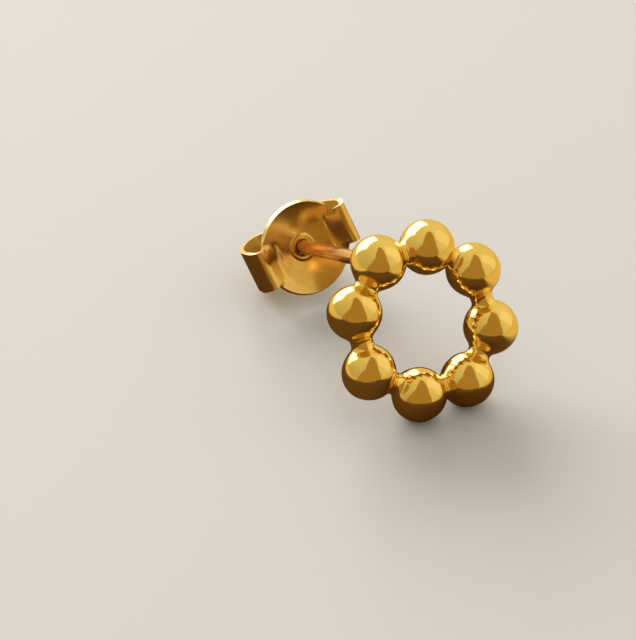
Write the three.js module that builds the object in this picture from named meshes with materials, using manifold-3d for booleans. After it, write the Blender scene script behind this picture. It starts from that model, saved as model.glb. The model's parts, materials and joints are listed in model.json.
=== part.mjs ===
// A gold stud earring: a ring of eight soldered balls with its ear post, and a scroll nut on the post.
// Millimetres, +Z up. The earring lies as it does on a table: on two balls and the edge of its nut.
import * as THREE from "three";
import { mergeVertices } from "three/addons/utils/BufferGeometryUtils.js";
import Module from "manifold-3d";

const wasm = await Module();
wasm.setup();

// Ring of balls
const BALL_RADIUS = 1.5;
const BALL_GAP = 0.15; // between true balls of the ring, closed by a neck
const NECK_RADIUS = 0.62; // at the neck's waist
const NECK_FOOT_RADIUS = 0.93; // where the solder runs onto a ball
const BALL_SIDES = 16;
const BALL_STACKS = 12;
const NECK_SIDES = 12;

// Each ball's place as it was cast: degrees round the ring from its even place, and its distance from
// the ring's centre as a share of the true pitch radius. The first ball carries the post.
const CAST_BALLS = [
  { turn: 0, out: 1.02 },
  { turn: 2.5, out: 0.97 },
  { turn: 2, out: 0.975 },
  { turn: -1.5, out: 1.01 },
  { turn: -0.5, out: 1.05 },
  { turn: 3, out: 0.975 },
  { turn: 0.5, out: 1 },
  { turn: -3, out: 0.99 },
];
const RING_SWING = 17; // degrees that the ring hangs to the side of the nut's middle line
const STANDING_BALLS = [4, 5]; // the two balls that touch the table
const BALL_REACH = 1.01; // points within this many radii of a ball's centre are on that ball
const RESTING_ROUNDS = 20; // of finding the table again from the lowest points

// Ear post
const POST_RADIUS = 0.4;
const POST_LENGTH = 11; // from the back of its ball to the tip
const POST_FOOT_RADIUS = 0.7; // solder foot on the ball
const POST_FOOT_LENGTH = 0.4;
const POST_FOOT_CURVE = 0.25; // share of the foot's flare that is left halfway along it
const TIP_FLAT_RADIUS = 0.22;
const TIP_LENGTH = 0.3; // of the rounded end
const POST_SIDES = 16;

// Scroll nut
const NUT_BACK = 8.2; // from the back of the post's ball to the rim of the disc
const NUT_TURN = 5; // degrees round the post
const SHEET = 0.25;
const DISC_RADIUS = 2.7;
const DISH_DEPTH = 0.6;
const POST_CLEARANCE = 0.05; // round the post, in the hole and between the scrolls
const COLLAR_WIDTH = 0.34;
const COLLAR_HEIGHT = 0.13;
const COLLAR_PLACES = [0.2, 0.5, 0.8]; // shares of the collar's width
const WING_REACH = 0.6; // beyond the disc's rim
const WING_RISE = 0.35; // of the fold's crest in front of the rim
const SCROLL_DEPTH = 3.8; // from the crest to the back of the roll
const ROOT_WIDTH = 2.1;
const WING_WIDTH = 2.7;
const TIP_WIDTH = 2.4;
const WING_TURN = 0.3; // share of the wing's length where it is widest
const DISC_SIDES = 48;
const DISH_STEPS = 8;
const SCROLL_STEPS = 44;

// One wing's roll, seen along the disc. out is a share of the way from the post's side to the outer
// turn, and back a share of the scroll's depth. It starts at the crest and ends inside the roll.
const ROLL = [
  { out: 0.82, back: 0 },
  { out: 0.95, back: 0.06 },
  { out: 1, back: 0.24 },
  { out: 0.96, back: 0.5 },
  { out: 0.83, back: 0.75 },
  { out: 0.58, back: 0.94 },
  { out: 0.32, back: 1 },
  { out: 0.09, back: 0.88 },
  { out: 0, back: 0.7 },
  { out: 0.06, back: 0.53 },
  { out: 0.19, back: 0.45 },
];
const ROOT_PLACES = [0.5, 0.7]; // shares of the disc's radius where the wing lies in the dish

const MERGE_WITHIN = 1e-4; // points closer than this are one

const GOLD = { color: 0xdcae46, roughness: 0.18, metalness: 1 };

// A closed geometry as a solid that can be joined or cut.
function solidOf(geometry) {
  const bare = geometry.clone();
  bare.deleteAttribute("normal");
  bare.deleteAttribute("uv");
  const merged = mergeVertices(bare, MERGE_WITHIN);
  return new wasm.Manifold(
    new wasm.Mesh({
      numProp: 3,
      vertProperties: merged.attributes.position.array,
      triVerts: new Uint32Array(merged.index.array),
    }),
  );
}

// The join of several closed geometries, as one geometry.
function joined(geometries) {
  const mesh = geometries.map(solidOf).reduce((sum, next) => sum.add(next)).getMesh();
  const geometry = new THREE.BufferGeometry();
  geometry.setAttribute("position", new THREE.BufferAttribute(mesh.vertProperties, 3));
  geometry.setIndex(new THREE.BufferAttribute(mesh.triVerts, 1));
  geometry.computeVertexNormals();
  return geometry;
}

// A solid of revolution round Z from [radius, z] pairs.
function turned(profile, sides) {
  const points = profile.map(([radius, z]) => new THREE.Vector2(radius, z));
  return new THREE.LatheGeometry(points, sides).rotateX(Math.PI / 2);
}

// Moves a geometry whose axis is Z so that it runs from one point to another, centred between them.
function between(geometry, from, to) {
  const along = to.clone().sub(from).normalize();
  const turn = new THREE.Quaternion().setFromUnitVectors(new THREE.Vector3(0, 0, 1), along);
  const middle = from.clone().add(to).multiplyScalar(0.5);
  return geometry.applyQuaternion(turn).translate(middle.x, middle.y, middle.z);
}

// Ball centres in the stud's own frame: the post's ball at the origin, the ring in the XY plane and
// the post running to -Z.
function ballCentres() {
  const count = CAST_BALLS.length;
  const pitchRadius = (BALL_RADIUS + BALL_GAP / 2) / Math.sin(Math.PI / count);
  const polar = CAST_BALLS.map(({ turn, out }, i) => {
    const angle = Math.PI / 2 + THREE.MathUtils.degToRad(RING_SWING + turn) - (i * 2 * Math.PI) / count;
    return new THREE.Vector3(Math.cos(angle), Math.sin(angle), 0).multiplyScalar(pitchRadius * out);
  });
  return polar.map((centre) => centre.clone().sub(polar[0]));
}

// The solder between two balls: a waisted neck whose ends run onto the balls.
function neck(from, to) {
  const halfSpan = from.distanceTo(to) / 2;
  const foot = halfSpan - Math.sqrt(BALL_RADIUS ** 2 - NECK_FOOT_RADIUS ** 2);
  const shares = [-1, -0.5, 0, 0.5, 1];
  const waist = shares.map((share) => [
    NECK_RADIUS + (NECK_FOOT_RADIUS - NECK_RADIUS) * share ** 2,
    foot * share,
  ]);
  return between(turned([[0, -foot], ...waist, [0, foot]], NECK_SIDES), from, to);
}

// The ear post, from inside its ball at the origin to a rounded tip with a small flat end.
function earPost() {
  const tip = -(BALL_RADIUS + POST_LENGTH);
  const ballBack = -Math.sqrt(BALL_RADIUS ** 2 - POST_FOOT_RADIUS ** 2);
  const rounding = [1, 0.5, 0].map((share) => [
    TIP_FLAT_RADIUS + (POST_RADIUS - TIP_FLAT_RADIUS) * Math.sin((share * Math.PI) / 2),
    tip + TIP_LENGTH * (1 - Math.cos((share * Math.PI) / 2)),
  ]);
  const profile = [
    [0, 0],
    [POST_FOOT_RADIUS, 0],
    [POST_FOOT_RADIUS, ballBack],
    [THREE.MathUtils.lerp(POST_RADIUS, POST_FOOT_RADIUS, POST_FOOT_CURVE), ballBack - POST_FOOT_LENGTH / 2],
    [POST_RADIUS, ballBack - POST_FOOT_LENGTH],
    ...rounding,
    [0, tip],
  ];
  return turned(profile.reverse(), POST_SIDES);
}

function ballRingPost(centres) {
  const balls = centres.map((centre) =>
    new THREE.SphereGeometry(BALL_RADIUS, BALL_SIDES, BALL_STACKS)
      .rotateX(Math.PI / 2)
      .translate(centre.x, centre.y, centre.z),
  );
  const necks = centres.map((centre, i) => neck(centre, centres[(i + 1) % centres.length]));
  return joined([...balls, ...necks, earPost()]);
}

// Height of the dish's front face at a distance from its centre, from the rim's front edge at zero.
function dishHeight(radius) {
  return -DISH_DEPTH * (1 - (radius / DISC_RADIUS) ** 2);
}

// The disc: a shallow dish with a round hole and a low collar round it, open towards the ring.
function dish() {
  const hole = POST_RADIUS + POST_CLEARANCE;
  const collarEdge = hole + COLLAR_WIDTH;
  const collar = COLLAR_PLACES.map((share) => {
    const radius = hole + COLLAR_WIDTH * share;
    return [radius, dishHeight(radius) + COLLAR_HEIGHT * Math.sin(share * Math.PI)];
  });
  const radii = Array.from(
    { length: DISH_STEPS + 1 },
    (_, i) => collarEdge + ((DISC_RADIUS - collarEdge) * i) / DISH_STEPS,
  );
  const bowl = radii.map((radius) => [radius, dishHeight(radius)]);
  const front = [[hole, dishHeight(hole)], ...collar, ...bowl];
  const back = [...radii].reverse().map((radius) => [radius, dishHeight(radius) - SHEET]);
  const closing = [[hole, dishHeight(hole) - SHEET], [hole, dishHeight(hole)]];
  return turned([...front, ...back, ...closing].reverse(), DISC_SIDES);
}

// The middle line of one wing's strip, from inside the dish to the end of its roll, as x and z.
function wingLine() {
  const inner = POST_RADIUS + POST_CLEARANCE + SHEET / 2;
  const outer = DISC_RADIUS + WING_REACH - SHEET / 2;
  const root = ROOT_PLACES.map((share) => {
    const radius = DISC_RADIUS * share;
    return new THREE.Vector2(radius, dishHeight(radius) - SHEET / 2);
  });
  const crest = WING_RISE - SHEET / 2;
  const depth = SCROLL_DEPTH - SHEET;
  const reach = outer - inner;
  const roll = ROLL.map(({ out, back }) => new THREE.Vector2(inner + reach * out, crest - depth * back));
  return new THREE.SplineCurve([...root, ...roll]).getSpacedPoints(SCROLL_STEPS);
}

// Half the strip's width at a share of the way along it: it widens to the turn, then narrows to the tip.
function wingHalfWidth(share) {
  const width =
    share < WING_TURN
      ? THREE.MathUtils.lerp(ROOT_WIDTH, WING_WIDTH, share / WING_TURN)
      : THREE.MathUtils.lerp(WING_WIDTH, TIP_WIDTH, (share - WING_TURN) / (1 - WING_TURN));
  return width / 2;
}

// One wing: the strip's cross-section along its middle line, drawn out to the strip's width.
function wing() {
  const line = wingLine();
  const side = (offset) =>
    line.map((point, i) => {
      const ahead = line[Math.min(i + 1, line.length - 1)];
      const behind = line[Math.max(i - 1, 0)];
      const along = ahead.clone().sub(behind).normalize();
      return new THREE.Vector2(point.x - along.y * offset, point.y + along.x * offset);
    });
  const outline = new THREE.Shape([...side(SHEET / 2), ...side(-SHEET / 2).reverse()]);
  const strip = new THREE.ExtrudeGeometry(outline, { depth: 1, bevelEnabled: false, steps: 1 })
    .translate(0, 0, -0.5)
    .rotateX(Math.PI / 2);
  const position = strip.attributes.position;
  for (let i = 0; i < position.count; i += 1) {
    const here = new THREE.Vector2(position.getX(i), position.getZ(i));
    const distances = line.map((point) => point.distanceTo(here));
    const share = distances.indexOf(Math.min(...distances)) / (line.length - 1);
    position.setY(i, Math.sign(position.getY(i)) * wingHalfWidth(share));
  }
  return strip;
}

function scrollNut() {
  return joined([dish(), wing(), wing().rotateZ(Math.PI)]);
}

// The lowest of some points along a direction.
function lowest(points, up) {
  return points.reduce((low, point) => (point.dot(up) < low.dot(up) ? point : low));
}

// The direction that points up when the stud rests on two of its balls and on its nut: the plane
// through the lowest point of each, found again until it stays.
function restingUp(ringPoints, nutPoints, centres) {
  const groups = STANDING_BALLS.map((index) =>
    ringPoints.filter((point) => point.distanceTo(centres[index]) < BALL_RADIUS * BALL_REACH),
  );
  groups.push(nutPoints);
  const ringMiddle = centres
    .reduce((sum, centre) => sum.add(centre), new THREE.Vector3())
    .divideScalar(centres.length);
  const foot = centres[STANDING_BALLS[0]].clone().lerp(centres[STANDING_BALLS[1]], 0.5);
  let up = ringMiddle.sub(foot).normalize();
  for (let round = 0; round < RESTING_ROUNDS; round += 1) {
    const [first, second, third] = groups.map((points) => lowest(points, up));
    const next = second.clone().sub(first).cross(third.clone().sub(first)).normalize();
    up = next.dot(up) < 0 ? next.negate() : next;
  }
  return up;
}

// The points of a mesh's geometry in the frame of its parent.
function pointsOf(mesh) {
  mesh.updateMatrix();
  const position = mesh.geometry.attributes.position;
  return Array.from({ length: position.count }, (_, i) =>
    new THREE.Vector3().fromBufferAttribute(position, i).applyMatrix4(mesh.matrix),
  );
}

function namedMesh(name, geometry) {
  const mesh = new THREE.Mesh(geometry, new THREE.MeshStandardMaterial(GOLD));
  mesh.name = name;
  return mesh;
}

const centres = ballCentres();
const ring = namedMesh("ball_ring_post", ballRingPost(centres));
const nut = namedMesh("scroll_nut", scrollNut());
nut.position.z = -(BALL_RADIUS + NUT_BACK);
nut.rotation.z = THREE.MathUtils.degToRad(NUT_TURN);

// The stud is turned to rest on the table with its post running level to the back, along +Y.
const stud = new THREE.Group();
stud.add(ring, nut);
const up = restingUp(pointsOf(ring), pointsOf(nut), centres);
const back = new THREE.Vector3(0, 0, -1).projectOnPlane(up).normalize();
const right = back.clone().cross(up);
stud.quaternion.setFromRotationMatrix(new THREE.Matrix4().makeBasis(right, back, up).transpose());

// Then the middle of its box goes over the origin, and its lowest point to the table.
const box = new THREE.Box3().setFromObject(stud, true);
const middle = box.getCenter(new THREE.Vector3());
stud.position.set(-middle.x, -middle.y, -box.min.z);

const earring = new THREE.Group();
earring.add(stud);

export default earring;
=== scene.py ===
"""A gold ball stud earring on a pale table: a ring of eight soldered balls, an ear post and a scroll nut."""

import json

import bpy
import numpy as np
from mathutils import Matrix, Vector


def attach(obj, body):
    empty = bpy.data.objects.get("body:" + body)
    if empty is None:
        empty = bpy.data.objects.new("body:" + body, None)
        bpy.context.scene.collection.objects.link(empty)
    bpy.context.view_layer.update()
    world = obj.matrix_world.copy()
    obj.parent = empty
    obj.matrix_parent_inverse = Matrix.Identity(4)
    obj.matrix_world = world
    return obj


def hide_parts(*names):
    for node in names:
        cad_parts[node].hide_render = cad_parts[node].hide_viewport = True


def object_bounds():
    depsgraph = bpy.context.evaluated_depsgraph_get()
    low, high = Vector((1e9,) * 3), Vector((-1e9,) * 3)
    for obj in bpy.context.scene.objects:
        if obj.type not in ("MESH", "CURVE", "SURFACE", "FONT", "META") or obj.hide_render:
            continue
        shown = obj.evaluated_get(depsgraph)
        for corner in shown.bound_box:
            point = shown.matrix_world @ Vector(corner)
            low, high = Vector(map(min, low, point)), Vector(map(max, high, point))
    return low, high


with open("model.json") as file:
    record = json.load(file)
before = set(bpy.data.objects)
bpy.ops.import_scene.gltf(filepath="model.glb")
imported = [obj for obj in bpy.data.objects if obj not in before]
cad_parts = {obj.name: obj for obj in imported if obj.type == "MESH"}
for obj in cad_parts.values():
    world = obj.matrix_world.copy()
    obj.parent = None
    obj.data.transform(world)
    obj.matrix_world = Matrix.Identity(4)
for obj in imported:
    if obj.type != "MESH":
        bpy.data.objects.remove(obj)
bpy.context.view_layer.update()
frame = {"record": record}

MM = 0.001

# Ring of balls, in millimetres
BALL_RADIUS = 1.5
BALL_GAP = 0.15
NECK_RADIUS = 0.6
SOLDER_BLEND = 0.1  # how far the solder runs where a neck meets a ball
CAST_TURNS = np.radians([0, 2.5, 2, -1.5, -0.5, 3, 0.5, -3])  # of each ball off its even place
CAST_OUTS = np.array([1.02, 0.97, 0.975, 1.01, 1.05, 0.975, 1.0, 0.99])  # shares of the pitch radius
RING_SWING = np.radians(17)
CAST_WAVE = 0.026  # height of the soft waves that casting and tumbling leave on a ball
CAST_WAVES = ((4, 0.5), (7, 0.24), (12, 0.07))  # how many to a turn, and the share of the height
CAST_SEED = 7
ROUNDS_PER_BALL = 68
RING_SIDES = 84
RING_HALVINGS = 26
RAY_REACH = 1.4  # ball radii that a ray looks out from the ring's core

# Ear post, in millimetres
POST_RADIUS = 0.4
POST_LENGTH = 11.0
POST_FOOT_RADIUS = 0.68
POST_FOOT_LENGTH = 0.42
TIP_FLAT_RADIUS = 0.22
TIP_LENGTH = 0.3
POST_SUNK = 0.3  # how far the post's foot starts inside its ball
POST_SIDES = 48
CURVE_STEPS = 10
SHANK_STEPS = 32

# Scroll nut, in millimetres
NUT_BACK = 8.2
NUT_TURN = np.radians(5)
SHEET = 0.25
SHEET_EDGE = 0.085  # rounding of the sheet's worn edges
DISC_RADIUS = 2.7
DISH_DEPTH = 0.6
POST_CLEARANCE = 0.05
COLLAR_CLEARANCE = 0.02
COLLAR_WIDTH = 0.43
COLLAR_HEIGHT = 0.13
WING_REACH = 0.6
WING_RISE = 0.35
SCROLL_DEPTH = 3.8
ROOT_WIDTH = 2.06
WING_WIDTH = 2.52
TIP_WIDTH = 2.2
WING_SHIFT = 0.09  # of both wings' middle line up from the disc's centre
TURN_SHARE = 0.3  # share of the wing's length where it stops narrowing fast
ROOT_PLACES = (0.5, 0.7)
BESIDE_WING = (0.78, 1.3)  # shares of the wing's half width between which its root turns into the dish
BESIDE_RIM = (0.88, 1.02)  # shares of the disc's radius between which that ends
SPLINE_STEPS = 600
WING_STEPS = 190
DISH_STEPS = 26
SHEET_COLUMNS = 81
SHEET_UNDER_COLLAR = 0.35  # share of the collar's width that the sheet stops short of
COLLAR_STEPS = 14
COLLAR_SIDES = 72
COLLAR_LIP = 0.02  # how far the collar's outer edge dips under the sheet's faces
COLLAR_FULLNESS = 0.8  # power of the sine that the collar's front follows; a lower one is a fuller roll
ROLL_OUT = (0.82, 0.95, 1, 0.96, 0.83, 0.58, 0.32, 0.09, 0, 0.06, 0.19)
ROLL_BACK = (0, 0.06, 0.24, 0.5, 0.75, 0.94, 1, 0.88, 0.7, 0.53, 0.45)

# Gold's soft clouds, handling marks and pores, to the millimetre
CLOUD_SCALE = 0.9
MARK_SCALE = 5.0
PORE_SCALE = 2.6
PORE_REACH = 0.11

# The stud lies turned by this much round its post, from level
STUD_TURN = np.radians(9.833)

# Camera, from the photograph
CAMERA_AZIMUTH = 27.58
CAMERA_ELEVATION = 39.32
CAMERA_ROLL = 2.15
CAMERA_DISTANCE = 0.1336
CAMERA_LENS = 135.0
PART_MIDDLE = (0.0, 0.0, 0.004)
PART_RIGHT_OF_CENTRE = 0.00326
PART_ABOVE_CENTRE = 0.00238

# Stage
TABLE_COLOUR = (0.55, 0.54, 0.53)
TABLE_ROUGHNESS = 0.6
TABLE_REACH = 0.8
# Table colours that only glossy rays see, a painted reflection: a dark painted shade near the part and
# towards the camera, and a warm pale beyond
MIRRORED_PAINTED_SHADE = (0.096, 0.05, 0.0155)
MIRRORED_FAR = (0.6, 0.457, 0.155)
SHADE_LEFT = 3  # millimetres that the middle of the painted shade in the mirrored table lies to the left of the part
GLANCE_FROM = 10  # millimetres from there where the mirrored table turns pale, and where it is all pale
GLANCE_TO = 15
GLANCE_EASE = 0.8  # share of the way towards the camera that is taken off that distance
LIGHT_DISTANCE = 0.6
WINDOW_SIDE = (-0.5, 0.72, -0.42)  # shares along the camera's right, its up and towards it
WINDOW_SIZE = (0.64, 0.64)
WINDOW_POWER = 3.6
WINDOW_COLOUR = (1.0, 0.97, 0.9)
FILL_POWER = 5.4  # the window's light that the gold doesn't mirror
FILL_COLOUR = (1.0, 0.98, 0.94)
RIGHT_SIDE = (0.85, 0.5, 0.15)
RIGHT_SIZE = (0.4, 0.7)
RIGHT_POWER = 0.12
RIGHT_COLOUR = (1.0, 0.96, 0.88)
ROOM_COLOUR = (1.0, 0.95, 0.88)
ROOM_MIRRORED = (0.96, 0.819, 0.36)
ROOM_LOW = 0.55
ROOM_HIGH = 0.86
ROOM_LOW_FROM = -0.6  # lean below which the room is as dim as it gets, where 1 is its brightest
ROOM_LEAN = (0.6, 0.8)  # shares of the camera's right and up that make the room's brighter side
# A glowing card that only the gold mirrors: a painted reflection, the darker shape in the middle of the
# balls
CARD_NEAR = 0.1
CARD_PAINTED_SHADE_COLOUR = (0.384, 0.233, 0.049)
CARD_OUTLINE = (
    (-2.5, -1.6),
    (1.95, -1.6),
    (0.75, 0.2),
    (0.6, 1.7),
    (0.35, 2.2),
    (0.1, 2.1),
    (-0.3, 0.25),
    (-0.9, -0.25),
)


def stud_frame():
    """The stud's own frame: x and y in the plane of the ring, z out of its front.

    Its origin, in metres, is the middle of the ball that carries the post. The post's tip and direction come
    from the record's mount, and the turn round the post is a named value.
    """
    mount = frame["record"]["mounts"][0]
    front = -np.array(mount["axis"], float)
    front /= np.linalg.norm(front)
    level = np.array([1.0, 0.0, 0.0])
    upright = np.cross(front, level)
    x_axis = np.cos(STUD_TURN) * level + np.sin(STUD_TURN) * upright
    y_axis = np.cross(front, x_axis)
    origin = np.array(mount["pos_m"], float) + front * (BALL_RADIUS + POST_LENGTH) * MM
    return np.stack([x_axis, y_axis, front]), origin


AXES, ORIGIN = stud_frame()


def placed(points):
    """Points in the stud's own frame, in millimetres, taken into the part's frame in metres."""
    return points @ AXES * MM + ORIGIN


def nut_placed(points):
    """Points in the nut's frame, whose zero is the middle of the disc's rim, taken into the part's frame."""
    turn = np.array(
        [
            [np.cos(NUT_TURN), np.sin(NUT_TURN), 0],
            [-np.sin(NUT_TURN), np.cos(NUT_TURN), 0],
            [0, 0, 1],
        ]
    )
    return placed(points @ turn - np.array([0, 0, BALL_RADIUS + NUT_BACK]))


def grid_faces(rows, columns, wrap_rows, wrap_columns):
    """The quads of a grid of rows by columns, closed on itself where it wraps."""
    row = np.arange(rows if wrap_rows else rows - 1)[:, None]
    column = np.arange(columns if wrap_columns else columns - 1)[None, :]
    next_row = (row + 1) % rows
    next_column = (column + 1) % columns
    corners = [
        row * columns + column,
        next_row * columns + column,
        next_row * columns + next_column,
        row * columns + next_column,
    ]
    return np.stack([corner + 0 * row * column for corner in corners], -1).reshape(-1, 4)


def piece(name, points, faces, material, body, node):
    """A smooth shaded mesh of points and faces that rides on a body and stands for a CAD node."""
    mesh = bpy.data.meshes.new(name)
    mesh.from_pydata(points.reshape(-1, 3).tolist(), [], list(faces))
    mesh.update()
    mesh.shade_smooth()
    mesh.materials.append(material)
    made = bpy.data.objects.new(name, mesh)
    bpy.context.scene.collection.objects.link(made)
    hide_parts(node)
    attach(made, body)
    return made


def ball_centres():
    """Ball centres round the ring's middle: even angles and one radius, each with its ball's own change."""
    count = len(CAST_TURNS)
    pitch_radius = (BALL_RADIUS + BALL_GAP / 2) / np.sin(np.pi / count)
    angle = np.pi / 2 + RING_SWING + CAST_TURNS - np.arange(count) * 2 * np.pi / count
    radius = pitch_radius * CAST_OUTS
    return np.stack([radius * np.cos(angle), radius * np.sin(angle), 0 * angle], -1)


def cast_waves(directions, seed):
    """Soft waves over a ball: a sum of cosines of the direction along random axes, at a few wavelengths."""
    random = np.random.default_rng(seed)
    height = np.zeros(directions.shape[:-1])
    for frequency, share in CAST_WAVES:
        axes = random.normal(size=(4, 3))
        axes /= np.linalg.norm(axes, axis=1)[:, None]
        phases = random.uniform(0, 2 * np.pi, 4)
        height += share * np.cos(frequency * directions @ axes.T + phases).sum(-1) / 2
    return height


def ring_field(points, centres):
    """Distance outside the soldered ring: the soft minimum of the distances to each ball and each neck.

    A ball's distance is the length from its centre less its radius and waves. A neck's is the distance
    from the segment between two centres less the neck's radius. The soft minimum is minus the log of the
    summed exponentials, which fills the corners as running solder does.
    """
    distances = []
    for index, centre in enumerate(centres):
        arm = points - centre
        length = np.linalg.norm(arm, axis=-1) + 1e-9
        wave = cast_waves(arm / length[..., None], CAST_SEED + index)
        distances.append(length - BALL_RADIUS - CAST_WAVE * wave)
        along = centres[(index + 1) % len(centres)] - centre
        share = np.clip(arm @ along / (along @ along), 0, 1)
        distances.append(np.linalg.norm(arm - share[..., None] * along, axis=-1) - NECK_RADIUS)
    stack = np.stack(distances)
    return -SOLDER_BLEND * np.log(np.exp(-stack / SOLDER_BLEND).sum(0))


def ball_ring(material):
    """The soldered ring as a grid of angle round the ring and angle round its core.

    The core runs straight from ball centre to ball centre. From each core point a ray goes out in the plane
    through the ring's axis, and halving finds where the ring's field is zero on it.
    """
    centres = ball_centres()
    rounds = ROUNDS_PER_BALL * len(centres)
    ball_angle = np.unwrap(np.arctan2(centres[:, 1], centres[:, 0]))
    angle = np.linspace(ball_angle[0], ball_angle[0] - 2 * np.pi, rounds, endpoint=False)
    index = np.clip(np.searchsorted(-ball_angle, -angle, side="right") - 1, 0, len(centres) - 1)
    start = centres[index]
    chord = centres[(index + 1) % len(centres)] - start
    outward = np.stack([np.cos(angle), np.sin(angle), 0 * angle], -1)
    core_radius = (start[:, 0] * chord[:, 1] - start[:, 1] * chord[:, 0]) / (
        outward[:, 0] * chord[:, 1] - outward[:, 1] * chord[:, 0]
    )
    core = outward * core_radius[:, None]
    section = np.linspace(0, 2 * np.pi, RING_SIDES, endpoint=False)
    axis = np.array([0, 0, 1])
    rays = outward[:, None] * np.cos(section)[None, :, None] + axis * np.sin(section)[None, :, None]
    low = np.zeros((rounds, RING_SIDES))
    high = np.full((rounds, RING_SIDES), BALL_RADIUS * RAY_REACH)
    for _ in range(RING_HALVINGS):
        middle = (low + high) / 2
        inside = ring_field(core[:, None] + rays * middle[..., None], centres) < 0
        low = np.where(inside, middle, low)
        high = np.where(inside, high, middle)
    points = core[:, None] + rays * low[..., None] - centres[0]
    faces = grid_faces(rounds, RING_SIDES, True, True)
    return piece("ball_ring", placed(points), faces, material, "stud", "ball_ring_post")


def turned(profile, sides):
    """A closed turned shape: rings of a radius and height profile, with a point at each end on the axis."""
    angle = np.linspace(0, 2 * np.pi, sides, endpoint=False)
    radius, height = profile[:, 0], profile[:, 1]
    rings = np.stack(
        [
            radius[:, None] * np.cos(angle),
            radius[:, None] * np.sin(angle),
            np.broadcast_to(height[:, None], (len(profile), sides)),
        ],
        -1,
    ).reshape(-1, 3)
    ends = np.array([[0, 0, height[0]], [0, 0, height[-1]]])
    quads = grid_faces(len(profile), sides, False, True)[:, ::-1]
    here = np.arange(sides)
    after = (here + 1) % sides
    first = np.stack([after, here, np.full(sides, len(rings))], -1)
    offset = (len(profile) - 1) * sides
    last = np.stack([offset + here, offset + after, np.full(sides, len(rings) + 1)], -1)
    return np.concatenate([rings, ends]), quads.tolist() + first.tolist() + last.tolist()


def ear_post(material):
    """The ear post: a solder foot that curves off the ball, a straight shank and a rounded, flat tip."""
    ball_back = np.sqrt(BALL_RADIUS**2 - POST_FOOT_RADIUS**2)
    curve = np.linspace(0, np.pi / 2, CURVE_STEPS)
    foot = np.stack(
        [
            POST_RADIUS + (POST_FOOT_RADIUS - POST_RADIUS) * (1 - np.sin(curve)),
            ball_back + POST_FOOT_LENGTH * (1 - np.cos(curve)),
        ],
        -1,
    )
    tip = np.stack(
        [
            TIP_FLAT_RADIUS + (POST_RADIUS - TIP_FLAT_RADIUS) * np.cos(curve),
            BALL_RADIUS + POST_LENGTH - TIP_LENGTH * (1 - np.sin(curve)),
        ],
        -1,
    )
    shank_heights = np.linspace(foot[-1, 1], tip[0, 1], SHANK_STEPS)[1:-1]
    shank = np.stack([np.full(len(shank_heights), POST_RADIUS), shank_heights], -1)
    start = np.array([[POST_FOOT_RADIUS, ball_back - POST_SUNK]])
    profile = np.concatenate([start, foot, shank, tip])
    points, faces = turned(profile, POST_SIDES)
    points = points * np.array([1, -1, -1])
    return piece("ear_post", placed(points), faces, material, "stud", "ball_ring_post")


def dish_height(radius):
    """The dish's front face, a paraboloid that is zero at the rim."""
    return -DISH_DEPTH * (1 - (radius / DISC_RADIUS) ** 2)


def spline(knots, steps):
    """A uniform Catmull-Rom curve through the knots."""
    padded = np.concatenate([knots[:1], knots, knots[-1:]])
    place = np.linspace(0, len(knots) - 1, steps)
    index = np.minimum(place.astype(int), len(knots) - 2)
    share = (place - index)[:, None]
    before, start, end, after = (padded[index + k] for k in range(4))
    return start + 0.5 * share * (
        (end - before)
        + share * (2 * before - 5 * start + 4 * end - after + share * (3 * start - before - 3 * end + after))
    )


def wing_path():
    """The middle line of half the sheet, as x and z: along the dish from its centre, then round the roll."""
    inner = POST_RADIUS + POST_CLEARANCE + SHEET / 2
    outer = DISC_RADIUS + WING_REACH - SHEET / 2
    root_x = DISC_RADIUS * np.array(ROOT_PLACES)
    roll_x = inner + (outer - inner) * np.array(ROLL_OUT)
    roll_z = WING_RISE - SHEET / 2 - (SCROLL_DEPTH - SHEET) * np.array(ROLL_BACK)
    knots_x = np.concatenate([root_x, roll_x])
    knots_z = np.concatenate([dish_height(root_x) - SHEET / 2, roll_z])
    wing = spline(np.stack([knots_x, knots_z], -1), SPLINE_STEPS)
    lengths = np.concatenate([[0], np.cumsum(np.linalg.norm(np.diff(wing, axis=0), axis=1))])
    even = np.linspace(0, lengths[-1], WING_STEPS)
    wing = np.stack([np.interp(even, lengths, wing[:, 0]), np.interp(even, lengths, wing[:, 1])], -1)
    dish_x = np.linspace(0, root_x[0], DISH_STEPS, endpoint=False)
    dish = np.stack([dish_x, dish_height(dish_x) - SHEET / 2], -1)
    share = np.concatenate([np.zeros(len(dish)), even / lengths[-1]])
    return np.concatenate([dish, wing]), share


def smooth_step(value, low, high):
    """Zero below low, one above high, and the cubic 3t^2 - 2t^3 between."""
    share = np.clip((value - low) / (high - low), 0, 1)
    return share * share * (3 - 2 * share)


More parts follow.
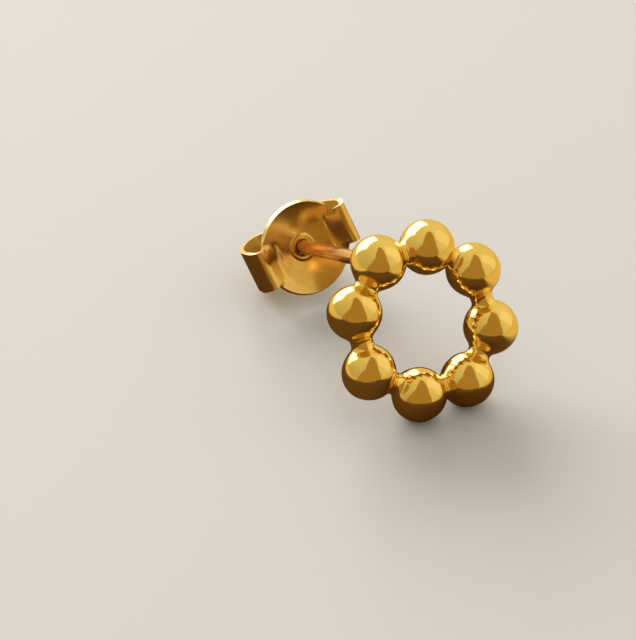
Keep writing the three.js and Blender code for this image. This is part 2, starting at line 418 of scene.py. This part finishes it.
def nut_sheet(material, edge_material, inner_material):
    """The nut's sheet as a grid of place along both wings and place across them, given its wall afterwards.

    Along the sheet the points follow the wing's path. Across it they spread to the disc's round outline or
    the wing's width, whichever is wider. Beside the wings' roots the height is the dish's paraboloid of the
    true radius. Between them it is the wing's path, and the two are mixed over a short way across.
    """
    path, share = wing_path()
    x, z = path[:, 0], path[:, 1]
    wing_half = np.interp(share, [0, TURN_SHARE, 1], [ROOT_WIDTH / 2, WING_WIDTH / 2, TIP_WIDTH / 2])
    in_disc = share < TURN_SHARE / 2
    disc_half = np.sqrt(np.clip(DISC_RADIUS**2 - x**2, 0, None)) * in_disc
    half = np.maximum(disc_half, wing_half)
    across = np.linspace(-1, 1, SHEET_COLUMNS)
    leaving = smooth_step(x, ROOT_PLACES[1] * DISC_RADIUS, DISC_RADIUS)
    shift = WING_SHIFT * np.where(in_disc, leaving, 1)
    y = half[:, None] * across + shift[:, None]
    radius = np.minimum(np.sqrt(x[:, None] ** 2 + y**2), DISC_RADIUS)
    dish = dish_height(radius) - SHEET / 2
    bowed = (1 - leaving) * in_disc
    strip = z[:, None] + bowed[:, None] * (dish_height(radius) - dish_height(np.abs(x))[:, None])
    inner_edge, outer_edge = (reach * wing_half[:, None] for reach in BESIDE_WING)
    beside = smooth_step(np.abs(y), inner_edge, outer_edge)
    near_rim, past_rim = (reach * DISC_RADIUS for reach in BESIDE_RIM)
    beside = beside * ((1 - smooth_step(x, near_rim, past_rim)) * in_disc)[:, None]
    height = strip + beside * (dish - strip)
    right = np.stack([np.broadcast_to(x[:, None], y.shape), y, height], -1)
    left = right[:0:-1] * np.array([-1, 1, 1])
    sheet = np.concatenate([left, right])
    faces = grid_faces(sheet.shape[0], sheet.shape[1], False, False)
    flat = sheet.reshape(-1, 3)
    middle = flat[faces].mean(1)
    hole = POST_RADIUS + POST_CLEARANCE + SHEET_UNDER_COLLAR * COLLAR_WIDTH
    near_front = middle[:, 2] > -DISH_DEPTH - SHEET
    kept = faces[~((np.hypot(middle[:, 0], middle[:, 1]) < hole) & near_front)]
    used = np.unique(kept)
    renumbered = np.full(len(flat), -1)
    renumbered[used] = np.arange(len(used))
    points = nut_placed(flat[used])
    faces = renumbered[kept].tolist()
    made = piece("nut_sheet", points, faces, material, "nut", "scroll_nut")
    made.data.materials.append(edge_material)
    made.data.materials.append(inner_material)
    wall = made.modifiers.new("wall", "SOLIDIFY")
    wall.thickness = SHEET * MM
    wall.offset = 0
    wall.use_even_offset = True
    # The wall's inner side takes the brighter gold, painted light, and its rim the paler gold, a painted
    # highlight
    wall.material_offset = 2
    wall.material_offset_rim = 1
    edge = made.modifiers.new("worn edge", "BEVEL")
    edge.width = SHEET_EDGE * MM
    edge.segments = 3
    edge.limit_method = "ANGLE"
    edge.angle_limit = np.radians(50)
    edge.harden_normals = True
    # The rounded edge takes the paler gold, a painted highlight
    edge.material = 1
    return made


def nut_collar(material):
    """The collar round the nut's hole: a closed section turned round the post's axis, raised in front."""
    hole = POST_RADIUS + COLLAR_CLEARANCE
    across = np.linspace(0, 1, COLLAR_STEPS)
    radius = hole + COLLAR_WIDTH * across
    roll = COLLAR_HEIGHT * np.sin(np.pi * across) ** COLLAR_FULLNESS
    front = dish_height(radius) + roll - COLLAR_LIP * across
    back = dish_height(radius) - SHEET - COLLAR_LIP + 2 * COLLAR_LIP * across
    section = np.concatenate([np.stack([radius, front], -1), np.stack([radius, back], -1)[::-1]])
    angle = np.linspace(0, 2 * np.pi, COLLAR_SIDES, endpoint=False)[:, None]
    points = np.stack(
        [section[:, 0] * np.cos(angle), section[:, 0] * np.sin(angle), section[:, 1] + 0 * angle], -1
    )
    faces = grid_faces(points.shape[0], points.shape[1], True, True)[:, ::-1].tolist()
    return piece("nut_collar", nut_placed(points), faces, material, "nut", "scroll_nut")


class Nodes:
    """Short calls that add and link the nodes of one material or world."""

    def __init__(self, tree):
        self.tree = tree
        tree.nodes.clear()

    def add(self, kind, **inputs):
        node = self.tree.nodes.new(kind)
        for name, value in inputs.items():
            self.give(node, name.replace("_", " "), value)
        return node

    def give(self, node, name, value):
        socket = node.inputs[name]
        if isinstance(value, bpy.types.NodeSocket):
            self.tree.links.new(value, socket)
        else:
            socket.default_value = value

    def ramp(self, fac, low, high, low_value, high_value):
        node = self.add("ShaderNodeMapRange", Value=fac)
        limits = {"From Min": low, "From Max": high, "To Min": low_value, "To Max": high_value}
        for name, value in limits.items():
            node.inputs[name].default_value = value
        return node.outputs["Result"]

    def maths(self, operation, first, second):
        node = self.tree.nodes.new("ShaderNodeMath")
        node.operation = operation
        for socket, value in zip(node.inputs, (first, second)):
            if isinstance(value, bpy.types.NodeSocket):
                self.tree.links.new(value, socket)
            else:
                socket.default_value = value
        return node.outputs[0]

    def along(self, place, direction):
        node = self.tree.nodes.new("ShaderNodeVectorMath")
        node.operation = "DOT_PRODUCT"
        self.tree.links.new(place, node.inputs[0])
        node.inputs[1].default_value = direction
        return node.outputs["Value"]


def gold(name, bright, deep, smooth, rough, bump_height):
    """Polished gold over metal: two close golds in soft clouds, varying gloss and fine handling marks."""
    material = bpy.data.materials.new(name)
    material.use_nodes = True
    nodes = Nodes(material.node_tree)
    place = nodes.add("ShaderNodeTexCoord").outputs["Object"]
    millimetres = nodes.add("ShaderNodeMapping", Vector=place, Scale=(1000, 1000, 1000)).outputs["Vector"]
    noise = "ShaderNodeTexNoise"
    clouds = nodes.add(noise, Vector=millimetres, Scale=CLOUD_SCALE, Detail=3.0, Roughness=0.55)
    marks = nodes.add(noise, Vector=millimetres, Scale=MARK_SCALE, Detail=5.0, Roughness=0.6)
    pores = nodes.add("ShaderNodeTexVoronoi", Vector=millimetres, Scale=PORE_SCALE, Randomness=1.0)
    tint = nodes.add("ShaderNodeMix")
    tint.data_type = "RGBA"
    nodes.give(tint, "Factor", nodes.ramp(clouds.outputs["Fac"], 0.35, 0.65, 0.0, 1.0))
    tint.inputs[6].default_value = (*deep, 1)
    tint.inputs[7].default_value = (*bright, 1)
    shader = nodes.add("ShaderNodeBsdfPrincipled", Metallic=1.0)
    nodes.give(shader, "Base Color", tint.outputs[2])
    nodes.give(shader, "Roughness", nodes.ramp(marks.outputs["Fac"], 0.3, 0.7, smooth, rough))
    pits = nodes.ramp(pores.outputs["Distance"], 0.0, PORE_REACH, 0.0, 1.0)
    height = nodes.maths("ADD", marks.outputs["Fac"], pits)
    bump = nodes.add("ShaderNodeBump", Strength=1.0, Distance=bump_height * MM, Height=height)
    nodes.give(shader, "Normal", bump.outputs["Normal"])
    output = nodes.add("ShaderNodeOutputMaterial")
    nodes.tree.links.new(shader.outputs["BSDF"], output.inputs["Surface"])
    return material


def glow(name, colour, strength):
    """A plain glowing finish for a card that the gold mirrors; the card is no lamp, so its glow is painted
    light.
    """
    material = bpy.data.materials.new(name)
    material.use_nodes = True
    nodes = Nodes(material.node_tree)
    shader = nodes.add("ShaderNodeEmission", Strength=strength)
    shader.inputs["Color"].default_value = (*colour, 1)
    output = nodes.add("ShaderNodeOutputMaterial")
    nodes.tree.links.new(shader.outputs["Emission"], output.inputs["Surface"])
    return material


def table_finish():
    """The plain pale table. The gold mirrors it in painted colours that only glossy rays see: a painted
    shade nearby and on the camera's side, and pale beyond.

    The distance that tells the two apart is measured on the table from a line that runs from the part's
    middle towards the camera. A share of the way along that line is taken off it, so the dark side widens.
    """
    material = bpy.data.materials.new("pale_table")
    material.use_nodes = True
    nodes = Nodes(material.node_tree)
    matt = nodes.add("ShaderNodeBsdfPrincipled", Roughness=TABLE_ROUGHNESS)
    matt.inputs["Base Color"].default_value = (*TABLE_COLOUR, 1)
    forward = camera_axes()[2]
    towards_camera = -forward * np.array([1, 1, 0])
    towards_camera /= np.linalg.norm(towards_camera)
    place = nodes.add("ShaderNodeTexCoord").outputs["Object"]
    ahead = nodes.along(place, towards_camera)
    aside = nodes.maths("ADD", nodes.along(place, np.cross(towards_camera, [0, 0, -1])), SHADE_LEFT * MM)
    behind = nodes.maths("MINIMUM", ahead, 0.0)
    in_front = nodes.maths("MAXIMUM", ahead, 0.0)
    aside_squared = nodes.maths("MULTIPLY", aside, aside)
    behind_squared = nodes.maths("MULTIPLY", behind, behind)
    distance = nodes.maths("SQRT", nodes.maths("ADD", aside_squared, behind_squared), 0.0)
    away = nodes.maths("SUBTRACT", distance, nodes.maths("MULTIPLY", in_front, GLANCE_EASE))
    share = nodes.ramp(away, GLANCE_FROM * MM, GLANCE_TO * MM, 0.0, 1.0)
    tint = nodes.add("ShaderNodeMix")
    tint.data_type = "RGBA"
    nodes.give(tint, "Factor", share)
    tint.inputs[6].default_value = (*MIRRORED_PAINTED_SHADE, 1)
    tint.inputs[7].default_value = (*MIRRORED_FAR, 1)
    # Glossy rays see this painted reflection in place of the pale table: painted shade near the part and
    # towards the camera
    mirrored = nodes.add("ShaderNodeBsdfDiffuse", Color=tint.outputs[2])
    path = nodes.add("ShaderNodeLightPath")
    mix = nodes.add("ShaderNodeMixShader", Fac=path.outputs["Is Glossy Ray"])
    nodes.tree.links.new(matt.outputs["BSDF"], mix.inputs[1])
    nodes.tree.links.new(mirrored.outputs["BSDF"], mix.inputs[2])
    output = nodes.add("ShaderNodeOutputMaterial")
    nodes.tree.links.new(mix.outputs["Shader"], output.inputs["Surface"])
    return material


def camera_axes():
    """The camera's right, up and forward directions from its azimuth, elevation and roll."""
    azimuth, elevation, roll = np.radians([CAMERA_AZIMUTH, CAMERA_ELEVATION, CAMERA_ROLL])
    forward = np.array(
        [np.sin(azimuth) * np.cos(elevation), np.cos(azimuth) * np.cos(elevation), -np.sin(elevation)]
    )
    level = np.array([np.cos(azimuth), -np.sin(azimuth), 0])
    above = np.cross(level, forward)
    right = np.cos(roll) * level + np.sin(roll) * above
    up = -np.sin(roll) * level + np.cos(roll) * above
    return right, up, forward


def add_camera():
    """The camera at the photograph's angle and distance, with the part as far off its middle as there."""
    right, up, forward = camera_axes()
    eye = np.array(PART_MIDDLE) - CAMERA_DISTANCE * forward
    eye = eye - PART_RIGHT_OF_CENTRE * right - PART_ABOVE_CENTRE * up
    data = bpy.data.cameras.new("camera")
    data.lens = CAMERA_LENS
    data.sensor_width = 36.0
    data.clip_start = 0.005
    data.clip_end = 5.0
    camera = bpy.data.objects.new("camera", data)
    columns = np.stack([right, up, -forward], -1)
    camera.matrix_world = Matrix.Translation(Vector(eye)) @ Matrix(columns.tolist()).to_4x4()
    bpy.context.scene.collection.objects.link(camera)
    bpy.context.scene.camera = camera


def aimed(place, target):
    """A matrix at a place whose -Z looks at a target."""
    look = (Vector(target) - Vector(place)).normalized()
    return Matrix.Translation(Vector(place)) @ look.to_track_quat("-Z", "Y").to_matrix().to_4x4()


def soft_light(name, direction, size, power, colour):
    """A rectangular soft light that hangs in a direction from the part and looks at it."""
    data = bpy.data.lights.new(name, "AREA")
    data.shape = "RECTANGLE"
    data.size, data.size_y = size
    data.energy = power
    data.color = colour
    light = bpy.data.objects.new(name, data)
    unit = np.array(direction, float) / np.linalg.norm(direction)
    light.matrix_world = aimed(np.array(PART_MIDDLE) + unit * LIGHT_DISTANCE, PART_MIDDLE)
    bpy.context.scene.collection.objects.link(light)
    return light


def seen_from_camera(right_share, up_share, near_share):
    """A direction in the part's frame from shares along the camera's right, up and towards it."""
    right, up, forward = camera_axes()
    return right * right_share + up * up_share - forward * near_share


def staged_card(name, corners, material):
    """A flat card that only the gold mirrors: the camera and the shadows don't see it."""
    mesh = bpy.data.meshes.new(name)
    mesh.from_pydata([tuple(corner) for corner in corners], [], [tuple(range(len(corners)))])
    mesh.update()
    mesh.materials.append(material)
    card = bpy.data.objects.new(name, mesh)
    bpy.context.scene.collection.objects.link(card)
    card.visible_camera = False
    card.visible_shadow = False
    card.visible_diffuse = False
    return card


def add_world():
    """An even bright room, brighter high up and to the right. The gold mirrors it as a warmer one."""
    world = bpy.data.worlds.new("room")
    world.use_nodes = True
    nodes = Nodes(world.node_tree)
    direction = nodes.add("ShaderNodeTexCoord").outputs["Generated"]
    right, up, _ = camera_axes()
    lean = nodes.along(direction, right * ROOM_LEAN[0] + up * ROOM_LEAN[1])
    level = nodes.ramp(lean, ROOM_LOW_FROM, 1.0, ROOM_LOW, ROOM_HIGH)
    tint = nodes.add("ShaderNodeMix")
    tint.data_type = "RGBA"
    nodes.give(tint, "Factor", nodes.add("ShaderNodeLightPath").outputs["Is Glossy Ray"])
    tint.inputs[6].default_value = (*ROOM_COLOUR, 1)
    tint.inputs[7].default_value = (*ROOM_MIRRORED, 1)
    back = nodes.add("ShaderNodeBackground", Strength=level, Color=tint.outputs[2])
    output = nodes.add("ShaderNodeOutputWorld")
    nodes.tree.links.new(back.outputs["Background"], output.inputs["Surface"])
    bpy.context.scene.world = world


def add_stage(lowest):
    """The pale table, the soft lights, and a glowing card that only the gold mirrors: a painted reflection,
    the darker shape in the middle of the balls.
    """
    mesh = bpy.data.meshes.new("table_top")
    square = ((-1, -1), (1, -1), (1, 1), (-1, 1))
    mesh.from_pydata([(x * TABLE_REACH, y * TABLE_REACH, lowest) for x, y in square], [], [(0, 1, 2, 3)])
    mesh.update()
    mesh.materials.append(table_finish())
    table = bpy.data.objects.new("table_top", mesh)
    bpy.context.scene.collection.objects.link(table)

    window = seen_from_camera(*WINDOW_SIDE)
    soft_light("window_light", window, WINDOW_SIZE, WINDOW_POWER, WINDOW_COLOUR)
    fill = soft_light("window_fill", window, WINDOW_SIZE, FILL_POWER, FILL_COLOUR)
    fill.visible_glossy = False
    soft_light("right_light", seen_from_camera(*RIGHT_SIDE), RIGHT_SIZE, RIGHT_POWER, RIGHT_COLOUR)
    add_world()

    right, up, forward = camera_axes()
    middle = np.array(PART_MIDDLE) - forward * CARD_NEAR
    corners = [middle + (right * across + up * rise) * CARD_NEAR for across, rise in CARD_OUTLINE]
    # The card glows but is no lamp: it paints a darker reflection into the middle of the balls
    staged_card("painted_reflection_card", corners, glow("viewer", CARD_PAINTED_SHADE_COLOUR, 1.0))


cast_gold = gold("gold_cast", (1.0, 0.76, 0.33), (0.958, 0.696, 0.269), 0.07, 0.17, 0.0011)
post_gold = gold("gold_post", (0.9, 0.66, 0.55), (0.84, 0.57, 0.44), 0.12, 0.2, 0.001)
sheet_gold = gold("gold_sheet", (0.82, 0.57, 0.24), (0.73, 0.46, 0.17), 0.16, 0.22, 0.0006)
# Paler gold for the sheet's rims and rounded edges: a painted highlight
edge_gold_painted_highlight = gold("gold_edge_painted_highlight", (1.0, 0.86, 0.56), (0.97, 0.78, 0.46), 0.22, 0.32, 0.0012)
# Brighter, paler gold for the sheet's inner side, which lines the scrolls: painted light
inner_gold_painted_light = gold("gold_inside_painted_light", (1.0, 0.84, 0.45), (0.97, 0.77, 0.37), 0.36, 0.48, 0.0012)
add_camera()
ball_ring(cast_gold)
ear_post(post_gold)
nut_sheet(sheet_gold, edge_gold_painted_highlight, inner_gold_painted_light)
nut_collar(sheet_gold)
visual_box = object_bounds()
add_stage(visual_box[0][2])
bpy.context.scene.view_settings.view_transform = "Standard"
